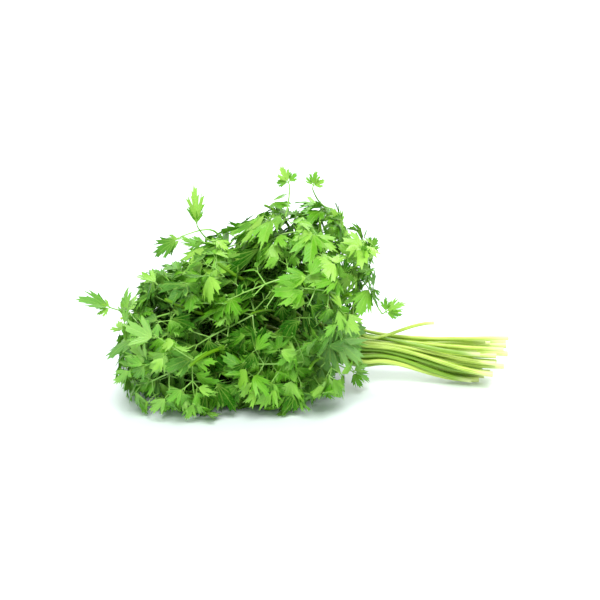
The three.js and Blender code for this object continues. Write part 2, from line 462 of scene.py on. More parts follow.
@dataclass(frozen=True)
class StemRule:
    """Where the stems start, and how they bend on the way to their leaves."""

    cut_x: float = 146.0
    cut_z: float = 19.5
    spread: float = 1.5
    twist: float = 50.0
    uneven: float = 0.6
    shortest: float = 24.0
    mostly_long: float = 1.5
    slant: float = 0.45
    loose_end: Place = (89.0, -4.0, 47.5)
    opening: float = 0.018
    straight: float = 0.42
    arriving: float = 0.5

    def cut_end(self, sprig: Sprig, place: Vector, radius: float) -> Vector:
        """Gives the middle of a stem's cut end.

        Args:
            sprig: The stem's sprig.
            place: Where the stem passes the neck.
            radius: The neck's radius.

        Returns:
            The point.
        """
        cos, sin = math.cos(math.radians(self.twist)), math.sin(math.radians(self.twist))
        across = self.spread * (place[0] * cos - place[1] * sin)
        up = self.spread * (place[0] * sin + place[1] * cos)
        below = radius * self.spread - up
        shorter = self.shortest * Trait.LENGTH.of(sprig.index) ** self.mostly_long
        x = self.cut_x - self.slant * below - shorter
        y = (2 * Trait.SIDE.of(sprig.index) - 1) * self.uneven
        z = (2 * Trait.HEIGHT.of(sprig.index) - 1) * self.uneven
        return np.array((x, across + y, self.cut_z + up + z))


@dataclass(frozen=True)
class StemLine:
    """A stem's middle line, in two Bezier legs: cut end to neck, and neck to leaf."""

    legs: tuple[Vector, Vector]
    loose: bool
    lowest: float = 0.75

    @classmethod
    def route(
        cls, sprig: Sprig, place: Vector, neck: Neck, rule: StemRule, loose: bool
    ) -> "StemLine":
        """Lays out a stem's line.

        Args:
            sprig: The stem's sprig.
            place: Where it passes the neck.
            neck: The neck.
            rule: How the stems run.
            loose: True for the one stem that stands off the bundle.

        Returns:
            The line.
        """
        cut = np.array(rule.loose_end) if loose else rule.cut_end(sprig, place, neck.radius)
        middle = np.array([neck.x, place[0], neck.z + place[1]])
        opening = unit(np.array([-1.0, place[0] * rule.opening, place[1] * rule.opening]))
        root, face = sprig.drape(0, 0)
        arriving = unit(face + rule.arriving * sprig.heading)
        first = (cut[0] - neck.x) / 3
        second = float(np.linalg.norm(middle - root)) * rule.straight
        inwards = unit(middle - cut) if loose else np.array([-1.0, 0.0, 0.0])
        bare = np.array([cut, cut + inwards * first, middle - opening * first, middle])
        leafy = np.array([middle, middle + opening * second, root - arriving * second, root])
        return cls((bare, leafy), loose)

    def at(self, share: float) -> Vector:
        """Gives the point at a share of the line, from 0 at the cut end to 1 at the leaf."""
        leg, t = (self.legs[0], 2 * share) if share < 0.5 else (self.legs[1], 2 * share - 1)
        weights = np.array([(1 - t) ** 3, 3 * t * (1 - t) ** 2, 3 * t * t * (1 - t), t**3])
        return resting(weights @ leg, self.lowest)


@dataclass(frozen=True)
class Slump:
    """How the mound's top has sunk towards its far end.

    Each span says where the sinking starts and where it is full.
    """

    most: float = 17.0
    from_neck: Span = (-5.0, -45.0)
    from_tip: Span = (-115.0, -75.0)
    from_front: Span = (-80.0, -20.0)
    upwards: Span = (20.0, 120.0)

    def lowered(self, points: Vector) -> Vector:
        """Lowers points of the growth rule, in millimetres.

        Args:
            points: The points, as rows.

        Returns:
            The lowered points.
        """
        x, y, z = points[..., 0], points[..., 1], points[..., 2]
        far = smoothstep(*self.from_neck, x) * smoothstep(*self.from_tip, x)
        sunk = self.most * far * smoothstep(*self.from_front, y) * smoothstep(*self.upwards, z)
        return points - sunk[..., None] * UP


@dataclass(frozen=True)
class Shift:
    """The way from the growth rule's own place to the frame's."""

    moved: Vector
    slump: Slump = field(default_factory=Slump)

    @classmethod
    def measure(cls, node: Thing, cut_end: Vector) -> "Shift":
        """Finds the shift from one stem's cut end.

        Args:
            node: The CAD node of the stem.
            cut_end: The middle of the same cut end by the growth rule, in millimetres.

        Returns:
            The shift.
        """
        depth, digits = 0.01, 3
        points = points_of(node.data) / MM
        on_the_cut = points[:, 0] > points[:, 0].max() - depth
        ring = np.unique(np.round(points[on_the_cut], digits), axis=0)
        return cls(ring.mean(axis=0) - cut_end)

    @property
    def floor(self) -> float:
        """Gives the height of the frame's floor in the growth rule's own place."""
        return -float(self.moved[2])

    def metres(self, points: Vector) -> Vector:
        """Carries points of the growth rule into the frame, with the mound's top slumped."""
        return (self.slump.lowered(points) + self.moved) * MM


# ---- Finishes ----

UV_MIDDLE, UV_WIDTH = 0.5, 0.7
BUMP_HEIGHT = 0.0004


class NodeBoard:
    """Adds and wires the nodes of one material or node group."""

    def __init__(self, tree: bpy.types.NodeTree) -> None:
        """Starts with an empty tree."""
        self.tree = tree
        tree.nodes.clear()

    def add(
        self, kind: str, inputs: dict[str | int, Value] | None = None, **settings: object
    ) -> bpy.types.Node:
        """Adds a node.

        Args:
            kind: The node's type.
            inputs: What each input is joined to or set to, by name or number.
            **settings: The node's own settings.

        Returns:
            The node.
        """
        node = self.tree.nodes.new(kind)
        for name, setting in settings.items():
            setattr(node, name, setting)
        for socket, value in (inputs or {}).items():
            if isinstance(value, Socket):
                self.tree.links.new(value, node.inputs[socket])
            else:
                node.inputs[socket].default_value = value
        return node

    def maths(self, operation: str, *values: Value, clamp: bool = False) -> Socket:
        """Adds a sum on one, two or three values and gives its result."""
        inputs = dict(enumerate(values))
        return self.add("ShaderNodeMath", inputs, operation=operation, use_clamp=clamp).outputs[0]

    def times(self, value: Value, factor: Value, clamp: bool = False) -> Socket:
        """Multiplies two values."""
        return self.maths("MULTIPLY", value, factor, clamp=clamp)

    def minus(self, value: Value, less: Value, clamp: bool = False) -> Socket:
        """Takes a value from another."""
        return self.maths("SUBTRACT", value, less, clamp=clamp)

    def plus(self, start: Value, value: Value, factor: float, clamp: bool = False) -> Socket:
        """Adds a multiple of a value to another."""
        return self.maths("ADD", start, self.times(value, factor), clamp=clamp)

    def blend(self, share: Value, first: Value, second: Value, how: str = "MIX") -> Socket:
        """Mixes two colours and gives the result."""
        inputs = {0: share, 6: first, 7: second}
        return self.add("ShaderNodeMix", inputs, data_type="RGBA", blend_type=how).outputs[2]

    def ramp(
        self, value: Value, low: float, high: float, first: float = 0, last: float = 1
    ) -> Socket:
        """Maps a value smoothly from one range to another and gives the result."""
        inputs = {0: value, 1: low, 2: high, 3: first, 4: last}
        return self.add("ShaderNodeMapRange", inputs, interpolation_type="SMOOTHSTEP").outputs[0]

    def attributes(self, *names: str) -> list[Socket]:
        """Reads some of the mesh's own numbers."""
        made = [self.add("ShaderNodeAttribute", attribute_name=name) for name in names]
        return [node.outputs["Fac"] for node in made]

    def place(self) -> Socket:
        """Gives the place on the piece."""
        return self.add("ShaderNodeTexCoord").outputs["Object"]

    def bump(self, strength: float, height: Value) -> Socket:
        """Gives a fine bump's normal."""
        inputs = {"Strength": strength, "Distance": BUMP_HEIGHT, "Height": height}
        return self.add("ShaderNodeBump", inputs).outputs[0]

    def skin(
        self, colour: Value, rough: Value, gloss: Value, normal: Socket | None = None
    ) -> Socket:
        """Adds the shader of a skin.

        Args:
            colour: Its colour.
            rough: How rough it is.
            gloss: How much it reflects.
            normal: Its bumps, where it has some.

        Returns:
            The shader's output.
        """
        inputs = {"Base Color": colour, "Roughness": rough, "Specular IOR Level": gloss}
        if normal is not None:
            inputs["Normal"] = normal
        return self.add("ShaderNodeBsdfPrincipled", inputs).outputs[0]

    def finish(self, shader: Socket) -> None:
        """Joins a shader to the material's surface."""
        self.add("ShaderNodeOutputMaterial", {"Surface": shader})


@dataclass(frozen=True)
class Effect:
    """A pattern that more than one material uses, as a node group."""

    name: str
    inputs: tuple[tuple[str, str, float], ...]
    outputs: tuple[str, ...]
    draw: Callable[[NodeBoard, bpy.types.Node], list[Socket]]

    def group(self) -> bpy.types.NodeTree:
        """Gives the node group, and builds it the first time.

        Returns:
            The group.
        """
        made = bpy.data.node_groups.get(self.name)
        if made:
            return made
        tree = bpy.data.node_groups.new(self.name, "ShaderNodeTree")
        for name, kind, value in self.inputs:
            socket = tree.interface.new_socket(name, in_out="INPUT", socket_type=kind)
            if kind == "NodeSocketFloat":
                socket.default_value = value
        for name in self.outputs:
            tree.interface.new_socket(name, in_out="OUTPUT", socket_type="NodeSocketFloat")
        board = NodeBoard(tree)
        given = board.add("NodeGroupInput")
        board.add("NodeGroupOutput", dict(enumerate(self.draw(board, given))))
        return tree

    def place(self, board: NodeBoard, inputs: dict[str | int, Value]) -> bpy.types.NodeOutputs:
        """Puts the group into a material with that material's own values."""
        return board.add("ShaderNodeGroup", inputs, node_tree=self.group()).outputs


def draw_veins(board: NodeBoard, given: bpy.types.Node) -> list[Socket]:
    """Draws a leaflet's veins, which fan out from its base, from its UV map.

    Args:
        board: The group's board.
        given: The group's inputs.

    Returns:
        The mask of the veins and the height of the skin between them.
    """
    main_veins, stripes, slant = (0.36, 0.72), 58.0, 1.7
    taper, fine_from, groove, ridge = 1.25, 0.55, -0.35, 0.9
    parts = board.add("ShaderNodeSeparateXYZ", {0: given.outputs["UV"]}).outputs
    across = board.maths("DIVIDE", board.minus(parts[1], UV_MIDDLE), UV_WIDTH)
    side = board.maths("ABSOLUTE", across)
    squares = [board.maths("POWER", part, 2.0) for part in (parts[0], side)]
    out = board.maths("SQRT", board.maths("ADD", *squares))
    angle = board.maths("ARCTAN2", side, parts[0])
    nearest: Value = angle
    for vein in main_veins:
        apart = board.maths("ABSOLUTE", board.minus(angle, vein))
        nearest = board.maths("MINIMUM", nearest, apart)
    away = board.times(nearest, out)
    width = board.times(given.outputs["Width"], board.minus(taper, out))
    main = board.minus(1.0, board.maths("DIVIDE", away, width), clamp=True)
    feather = board.minus(out, board.times(away, slant))
    fine = board.maths("SINE", board.times(feather, stripes))
    small = board.times(board.ramp(fine, fine_from, 1.0), given.outputs["Side veins"])
    height = board.minus(board.times(fine, groove), board.times(main, ridge))
    return [board.maths("MAXIMUM", main, small), height]


def draw_mottle(board: NodeBoard, given: bpy.types.Node) -> list[Socket]:
    """Draws the uneven green of living skin: broad patches and a fine grain.

    Args:
        board: The group's board.
        given: The group's inputs.

    Returns:
        The patches and the grain, each about 0 in the middle.
    """
    made = []
    for scale, detail in (("Patches", 2.0), ("Grain", 3.0)):
        place, size = given.outputs["Place"], given.outputs[scale]
        inputs = {"Vector": place, "Scale": size, "Detail": detail}
        made.append(board.minus(board.add("ShaderNodeTexNoise", inputs).outputs[0], 0.5))
    return made


VEINS = Effect(
    "leaf_veins",
    (
        ("UV", "NodeSocketVector", 0),
        ("Width", "NodeSocketFloat", 0.03),
        ("Side veins", "NodeSocketFloat", 0.4),
    ),
    ("Veins", "Height"),
    draw_veins,
)
MOTTLE = Effect(
    "green_mottle",
    (
        ("Place", "NodeSocketVector", 0),
        ("Patches", "NodeSocketFloat", 60.0),
        ("Grain", "NodeSocketFloat", 900.0),
    ),
    ("Patches", "Grain"),
    draw_mottle,
)


def new_material(name: str) -> tuple[bpy.types.Material, NodeBoard]:
    """Makes an empty node material and its board."""
    material = bpy.data.materials.new(name)
    material.use_nodes = True
    return material, NodeBoard(material.node_tree)


@dataclass(frozen=True)
class BladeFinish:
    """The skin of a leaflet.

    It goes from deep to fresh green, its veins and underside are paler, and light comes through.
    The deep green is also painted shade on leaflets inside the mound and behind its hollows.
    """

    name: str = "leaf_blade"
    # deep green, which is also the painted shade of inner leaflets and of those behind hollows
    deep: Colour = (0.012, 0.115, 0.001, 1)
    middle: Colour = (0.150, 0.500, 0.012, 1)
    fresh: Colour = (0.370, 0.720, 0.070, 1)
    bloom: Colour = (0.200, 0.460, 0.110, 1)
    vein: Colour = (0.500, 0.800, 0.130, 1)
    under: Colour = (0.290, 0.600, 0.090, 1)
    through: Colour = (0.340, 0.760, 0.005, 1)
    bloom_share: float = 0.8
    under_share: float = 0.6
    vein_share: float = 0.34
    through_share: float = 0.24
    patches: float = 90.0
    grain: float = 1400.0
    vein_width: float = 0.03
    side_veins: float = 0.35
    patchy: float = 0.5
    grainy: float = 0.35
    roughness: float = 0.4
    patches_rougher: float = 0.3
    under_rougher: float = 0.18
    least_gloss: float = 0.04
    fresh_gloss: float = 0.8
    fresh_through: float = 1.1
    strength: float = 0.35
    grain_height: float = 0.8

    def build(self) -> bpy.types.Material:
        """Builds the material.

        Returns:
            The material.
        """
        material, board = new_material(self.name)
        tint, bloom, under = board.attributes("tint", "bloom", "underside")
        sizes = {"Place": board.place(), "Patches": self.patches, "Grain": self.grain}
        mottle = MOTTLE.place(board, sizes)
        uv = board.add("ShaderNodeUVMap", uv_map="leaf").outputs[0]
        drawn = {"UV": uv, "Width": self.vein_width, "Side veins": self.side_veins}
        veins = VEINS.place(board, drawn)
        # the tint carries the painted shade of inner leaflets and of those behind hollows, so they
        # come out darker
        shade = board.plus(tint, mottle["Patches"], self.patchy, clamp=True)
        low = board.blend(board.times(shade, 2.0, clamp=True), self.deep, self.middle)
        high = board.minus(board.times(shade, 2.0), 1.0, clamp=True)
        skin = board.blend(high, low, self.fresh)
        skin = board.blend(board.times(bloom, self.bloom_share), skin, self.bloom)
        skin = board.blend(board.times(under, self.under_share), skin, self.under)
        skin = board.blend(board.times(veins["Veins"], self.vein_share), skin, self.vein)
        grain = dict.fromkeys(range(3), board.plus(1.0, mottle["Grain"], self.grainy))
        grey = board.add("ShaderNodeCombineXYZ", grain).outputs[0]
        skin = board.blend(1.0, skin, grey, "MULTIPLY")
        rough = board.plus(self.roughness, mottle["Patches"], self.patches_rougher)
        rough = board.plus(rough, under, self.under_rougher, clamp=True)
        height = board.plus(veins["Height"], mottle["Grain"], self.grain_height)
        bump = board.bump(self.strength, height)
        # leaflets with a low tint reflect less, and that tint includes the painted shade
        gloss = board.plus(self.least_gloss, shade, self.fresh_gloss)
        face = board.skin(skin, rough, gloss, bump)
        # the light that comes through is darkened with the same painted shade
        fresher = board.times(shade, self.fresh_through, clamp=True)
        lit = board.blend(fresher, self.deep, self.through)
        back = board.add("ShaderNodeBsdfTranslucent", {"Color": lit, "Normal": bump}).outputs[0]
        shaders = {0: self.through_share, 1: face, 2: back}
        board.finish(board.add("ShaderNodeMixShader", shaders).outputs[0])
        return material


@dataclass(frozen=True)
class StalkFinish:
    """The skin of a stem or stalk: pale ridges, greener grooves, a paler cut end and painted shade.

    Each change of colour has the range of the attribute that it follows, and the share of the
    colour at both its ends.
    """

    name: str
    groove: Colour = (0.260, 0.460, 0.015, 1)
    ridge: Colour = (0.680, 0.830, 0.170, 1)
    # painted shade, blended in towards the leaf end, where the stem runs in under the leaves
    shaded: Colour = (0.120, 0.300, 0.004, 1)
    dark: Colour = (0.130, 0.320, 0.005, 1)
    cut: Colour = (0.860, 0.920, 0.460, 1)
    pith: Colour = (0.880, 0.920, 0.620, 1)
    shading: tuple[float, ...] = (0.35, 0.85)
    darkening: tuple[float, ...] = (0.45, 0.0, 0.0, 0.75)
    paling: tuple[float, ...] = (0.5, 1.0, 0.0, 0.6)
    drying: tuple[float, ...] = (0.0, 0.10, 0.65, 0.0)
    streaks: float = 420.0
    grain: float = 1900.0
    drawn_out: Place = (0.12, 1.0, 1.0)
    streaky: float = 1.3
    roughness: float = 0.36
    grain_rougher: float = 0.25
    gloss: float = 0.5
    strength: float = 0.3
    grain_height: float = 0.6

    def build(self) -> bpy.types.Material:
        """Builds the material.

        Returns:
            The material.
        """
        material, board = new_material(self.name)
        ridge, away, pith, tint = board.attributes("ridge", "away", "pith", "tint")
        stretch = {"Vector": board.place(), "Scale": self.drawn_out}
        place = board.add("ShaderNodeMapping", stretch).outputs[0]
        sizes = {"Place": place, "Patches": self.streaks, "Grain": self.grain}
        streaks = MOTTLE.place(board, sizes)
        stripe = board.plus(ridge, streaks["Patches"], self.streaky, clamp=True)
        skin = board.blend(stripe, self.groove, self.ridge)
        for value, change, colour in (
            (away, self.shading, self.shaded),
            (tint, self.darkening, self.dark),
            (tint, self.paling, self.ridge),
            (away, self.drying, self.cut),
        ):
            skin = board.blend(board.ramp(value, *change), skin, colour)
        skin = board.blend(pith, skin, self.pith)
        rough = board.plus(self.roughness, streaks["Grain"], self.grain_rougher)
        height = board.plus(streaks["Patches"], streaks["Grain"], self.grain_height)
        board.finish(board.skin(skin, rough, self.gloss, board.bump(self.strength, height)))
        return material


@dataclass(frozen=True)
class TableFinish:
    """The pale, faintly glossy surface that the bunch lies on."""

    name: str = "pale_table"
    colour: Colour = (0.84, 0.92, 0.92, 1)
    roughness: float = 0.22
    gloss: float = 0.5

    def build(self) -> bpy.types.Material:
        """Builds the material.

        Returns:
            The material.
        """
        material, board = new_material(self.name)
        board.finish(board.skin(self.colour, self.roughness, self.gloss))
        return material


# ---- The leaf's plan ----


class Hand(Enum):
    """The two sides of a stalk."""

    RIGHT = -1
    LEFT = 1


@dataclass(frozen=True)
class Pair:
    """Two branches that leave a stalk at one node, splayed to both sides."""

    at: float
    splay: float
    branch: "Branch"


@dataclass(frozen=True)
class Branch:
    """A stalk with a leaflet at its end and pairs of smaller branches along it, in millimetres."""

    stalk: float
    leaflet: float
    pairs: tuple[Pair, ...] = ()


def three_leaflets(stalk: float, size: float, *more: Pair) -> Branch:
    """Plans a stalk that ends in three leaflets.

    Args:
        stalk: The length of the stalk.
        size: The length of the whole blade at its end.
        *more: Pairs further down the stalk.

    Returns:
        The branch.
    """
    splay, side_stalk, side, end_stalk, end = 54, 0.08, 0.60, 0.10, 0.84
    top = Pair(stalk, splay, Branch(side_stalk * size, side * size))
    return Branch(stalk + end_stalk * size, end * size, (*more, top))


@dataclass(frozen=True)
class StalkRun:
    """A stretch of stalk: places along, across and under the flat leaf, and its two thicknesses."""

    places: tuple[Place, ...]
    thick: float
    thin: float


@dataclass(frozen=True)
class LeafletSpot:
    """Where a leaflet grows on the flat leaf: its base, the way it points, and its length."""

    base: Place
    towards: float
    length: float


@dataclass(frozen=True)
class Walk:
    """Follows a branch and all that grows on it.

    Its thicker stalks lie further under the leaf.
    """

    chance: Chance
    sway: float = 0.22
    uneven: float = 9.0
    rising: Span = (0.2, 0.6)
    straying: Span = (-0.5, 2.0)
    long: float = 8.0
    steps: tuple[int, int] = (3, 6)
    taper: float = 0.7
    thinner: float = 0.72
    lengths: Span = (0.8, 1.2)

    def along(
        self,
        branch: Branch,
        base: Place = (0.0, 0.0, 13.0),
        towards: float = 0.0,
        width: float = 1.3,
    ) -> Iterator[StalkRun | LeafletSpot]:
        """Follows one branch.

        Args:
            branch: The branch.
            base: Where it starts: along the flat leaf, across it, and under it.
            towards: The way it points, in radians from the main stalk.
            width: How thick its stalk is at its base.

        Yields:
            Each stretch of stalk and each leaflet's place.
        """
        sway = self.chance.uniform(-self.sway, self.sway)
        under = base[2] * self.chance.uniform(*self.rising) + self.chance.normal(*self.straying)
        steps = self.steps[branch.stalk > self.long]
        places = [base]
        heading = towards
        for k in range(steps):
            heading += sway / steps
            step = branch.stalk / steps
            x, y, _ = places[-1]
            deep = base[2] + (under - base[2]) * (k + 1) / steps
            places.append((x + step * math.cos(heading), y + step * math.sin(heading), deep))
        yield StalkRun(tuple(places), width, width * self.taper)
        length = branch.leaflet * self.chance.uniform(*self.lengths)
        yield LeafletSpot(places[-1], heading, length)
        for pair in branch.pairs:
            share = pair.at / branch.stalk * steps
            low = min(int(share), steps - 1)
            ends = zip(places[low], places[low + 1])
            node = tuple(p + (q - p) * (share - low) for p, q in ends)
            for hand in Hand:
                uneven = self.chance.uniform(-self.uneven, self.uneven)
                splay = math.radians(pair.splay + uneven) * hand.value
                yield from self.along(pair.branch, node, towards + splay, width * self.thinner)


LOWER = three_leaflets(30, 30, Pair(15, 62, three_leaflets(5, 23)))
MIDDLE = three_leaflets(14, 25)
UPPER = three_leaflets(14, 28)
INNER_LOWER = three_leaflets(24, 27, Pair(12, 60, Branch(5, 18)))
INNER_UPPER = three_leaflets(9, 24)
OUTER_LEAF = three_leaflets(48, 33, Pair(0, 66, LOWER), Pair(20, 64, MIDDLE), Pair(36, 62, UPPER))
INNER_LEAF = three_leaflets(38, 31, Pair(8, 62, INNER_LOWER), Pair(28, 60, INNER_UPPER))
SHOOT_LEAF = three_leaflets(0.14, 0.80)
LONG_SHOOT = Branch(0.16, 0.84, (Pair(0.06, 30, Branch(0.05, 0.42)),))
BROAD_SHOOT = Branch(0.26, 0.78, (Pair(0.14, 56, Branch(0.10, 0.66)),))


# ---- Leaflets ----


@dataclass
class LeafletPattern:
    """Models the leaflets that all the others are copies of.

    The half outline of each lists its teeth and notches from the tip to the base, as an angle about
    the base in degrees and a length in shares of the whole.
    """

    finish: bpy.types.Material
    patterns: int = 8
    seed: int = 40
    thick: float = 0.016
    rows: int = 2
    half_outline: tuple[Span, ...] = (
        (0, 1.00), (3.5, 0.81), (9.5, 0.90), (12.5, 0.68), (17.5, 0.72), (20.5, 0.42),
        (26.5, 0.84), (30.5, 0.65), (37.5, 0.78), (42, 0.52), (50, 0.60), (60, 0.12),
    )  # fmt: skip
    cleft: int = 5
    widths: Span = (0.8, 1.12)
    clefts: Span = (0.8, 1.15)
    astray: float = 1.3
    uneven: float = 0.08
    inner: float = 0.58
    spread: int = 3
    edge: float = 0.01
    gap: float = 1e-5
    models: list[Thing] = field(default_factory=list)

    def build(self) -> None:
        """Models each pattern once."""
        for number in range(self.patterns):
            self.models.append(self.model(number))

    def outline(self, chance: Chance) -> tuple[Vector, Vector]:
        """Gives the angles and lengths of a leaflet's teeth, from its right edge to its left.

        Args:
            chance: Where its unevenness comes from.

        Returns:
            The angles about its base, in radians, and the lengths.
        """
        half = np.array(self.half_outline)
        wide = chance.uniform(*self.widths)
        cleft = chance.uniform(*self.clefts)
        sides = []
        for _ in Hand:
            astray, uneven = (
                np.append(0, chance.uniform(-most, most, len(half) - 1))
                for most in (self.astray, self.uneven)
            )
            lengths = half[:, 1] * (1 + uneven)
            lengths[self.cleft] *= cleft
            sides.append((half[:, 0] * wide + astray, lengths))
        (right, short), (left, long) = sides
        angles = np.concatenate([-right[:0:-1], left])
        return np.radians(angles), np.concatenate([short[:0:-1], long])

    def model(self, number: int) -> Thing:
        """Models one leaflet, one unit long, with its base at the origin and its tip on +X.

        Args:
            number: Which pattern.

        Returns:
            The leaflet.
        """
        angles, lengths = self.outline(np.random.default_rng(self.seed + number))
        columns = len(angles) - 1
        bpy.ops.mesh.primitive_grid_add(
            x_subdivisions=columns // 2, y_subdivisions=self.rows, size=1
        )
        leaflet = bpy.context.object
        leaflet.name = f"leaflet_pattern_{number + 1}"
        mesh = leaflet.data
        self.split_rim(leaflet)
        inner = self.shape(mesh, angles, lengths)
        body = leaflet.vertex_groups.new(name="body")
        body.add(np.flatnonzero(inner).tolist(), 1.0, "REPLACE")
        self.merge(leaflet)
        wall = leaflet.modifiers.new("wall", "SOLIDIFY")
        wall.thickness, wall.offset, wall.vertex_group = self.thick, 0, body.name
        bpy.ops.object.modifier_apply(modifier=wall.name)
        self.merge(leaflet)
        leaflet.vertex_groups.clear()
        smooth(below=50)
        self.mark(mesh)
        mesh.materials.append(self.finish)
        leaflet.hide_render = True
        return leaflet

    def shape(self, mesh: bpy.types.Mesh, angles: Vector, lengths: Vector) -> Vector:
        """Bends a grid into the outline of a leaflet.

        Args:
            mesh: The grid, one unit wide and deep.
            angles: The angle of each of its columns about the base.
            lengths: How far out each column ends.

        Returns:
            For each point, True where it is off the edge.
        """
        flat = points_of(mesh)
        columns = len(angles) - 1
        place = np.round((flat[:, 0] + 0.5) * columns).astype(int)
        out = flat[:, 1] + 0.5
        window = 2 * self.spread + 1
        padded = np.pad(lengths, self.spread, mode="edge")
        even = np.convolve(padded, np.ones(window) / window, "valid")
        length = np.where(out > 1 - self.edge, lengths[place], even[place] * self.inner)
        length = length * (out > self.edge)
        x, y = length * np.cos(angles[place]), length * np.sin(angles[place])
        mesh.vertices.foreach_set("co", np.stack([x, y, np.zeros(len(flat))], 1).ravel())
        between = (out > self.edge) & (out < 1 - self.edge)
        return between & (place > 0) & (place < columns)

    def split_rim(self, leaflet: Thing) -> None:
        """Gives the outer edge of a grid twice as many points as its rows have.

        Args:
            leaflet: The grid.
        """
        mesh = leaflet.data
        with edit_mode():
            bpy.ops.mesh.select_mode(type="EDGE")
            bpy.ops.mesh.select_all(action="DESELECT")
        for edge in mesh.edges:
            ends = (mesh.vertices[k].co.y for k in edge.vertices)
            edge.select = all(y > 0.5 - self.edge for y in ends)
        with edit_mode():
            bpy.ops.mesh.subdivide(number_cuts=1)
            bpy.ops.mesh.select_mode(type="VERT")

    def merge(self, leaflet: Thing) -> None:
        """Seals a leaflet, and turns its faces round if they came out pointing inwards.

        Args:
            leaflet: The leaflet.
        """
        seal(leaflet, self.gap)
        faces = leaflet.data.polygons
        if sum(face.normal.z * face.center.z * face.area for face in faces) < 0:
            with edit_mode():
                bpy.ops.mesh.flip_normals()

    @staticmethod
    def mark(mesh: bpy.types.Mesh) -> None:
        """Gives a flat leaflet its UV map and marks its underside.

        Args:
            mesh: The leaflet's mesh.
        """
        points = points_of(mesh)
        under = mesh.attributes.new("underside", "FLOAT", "FACE")
        under.data.foreach_set("value", [float(face.normal.z < 0) for face in mesh.polygons])
        while mesh.uv_layers:
            mesh.uv_layers.remove(mesh.uv_layers[0])
        layer = mesh.uv_layers.new(name="leaf")
        corners = np.empty(len(mesh.loops), dtype=np.int32)
        mesh.loops.foreach_get("vertex_index", corners)
        place = np.stack([points[corners, 0], UV_MIDDLE + UV_WIDTH * points[corners, 1]], 1)
        layer.uv.foreach_set("vector", place.astype(np.float32).ravel())

    def discard(self) -> None:
        """Removes the patterns once all their copies are made."""
        for model in self.models:
            bpy.data.meshes.remove(model.data)


@dataclass(frozen=True)
class LeafletPose:
    """How one leaflet grows out of its base: its frame, its length and width, and how it bends."""

    base: Vector
    towards: Vector
    face: Vector
    length: float
    wide: float
    curl: float
    fold: float
    ripple: float
    phase: float
    twist: float
    waves: float = 7.0
    behind: float = 0.15
    least_curl: float = 1e-3

    def bend(self, flat: Vector) -> Vector:
        """Bends and places a pattern's points.

        Args:
            flat: The points of the pattern, one unit long.

        Returns:
            The same points in place, in millimetres.
        """
        x, y, z = flat.T * np.array([[1.0], [self.wide], [1.0]])
        along = np.hypot(x, y)
        wave = np.sin(self.waves * np.arctan2(y, x + self.behind) + self.phase)
        lift = self.fold * np.abs(y) + self.ripple * wave * along**2
        radius = 1 / (self.curl if abs(self.curl) > self.least_curl else self.least_curl)
        angle = x / radius
        height = z + lift
        bent_x = radius * np.sin(angle) + height * np.sin(angle)
        bent_z = -radius * (1 - np.cos(angle)) + height * np.cos(angle)
        turn = self.twist * x
        turned_y = y * np.cos(turn) - bent_z * np.sin(turn)
        turned_z = y * np.sin(turn) + bent_z * np.cos(turn)
        axes = (self.towards, np.cross(self.face, self.towards), self.face)
        parts = zip((bent_x, turned_y, turned_z), axes)
        return self.base + sum(part[:, None] * axis for part, axis in parts) * self.length


@dataclass(frozen=True)
class Habit:
    """How unevenly leaflets grow.

    It gives how far their headings and faces stray and how much they twist, and the least and most
    of their width and bends.
    """

    heading: float
    face: float
    wide: Span
    curl: Span
    fold: Span
    ripple: Span
    twist: float

    def draw(self, chance: Chance, broad: float = 1.0) -> dict[str, float]:
        """Draws one leaflet's width and bends.

        Args:
            chance: Where they come from.
            broad: What the width is multiplied by.

        Returns:
            What a pose needs of them, by name.
        """
        return {
            "wide": chance.uniform(*self.wide) * broad,
            "curl": chance.uniform(*self.curl),
            "fold": chance.uniform(*self.fold),
            "ripple": chance.uniform(*self.ripple),
            "phase": chance.uniform(0, FULL_TURN),
            "twist": chance.normal(0, self.twist),
        }


# ---- The bundle of stems ----


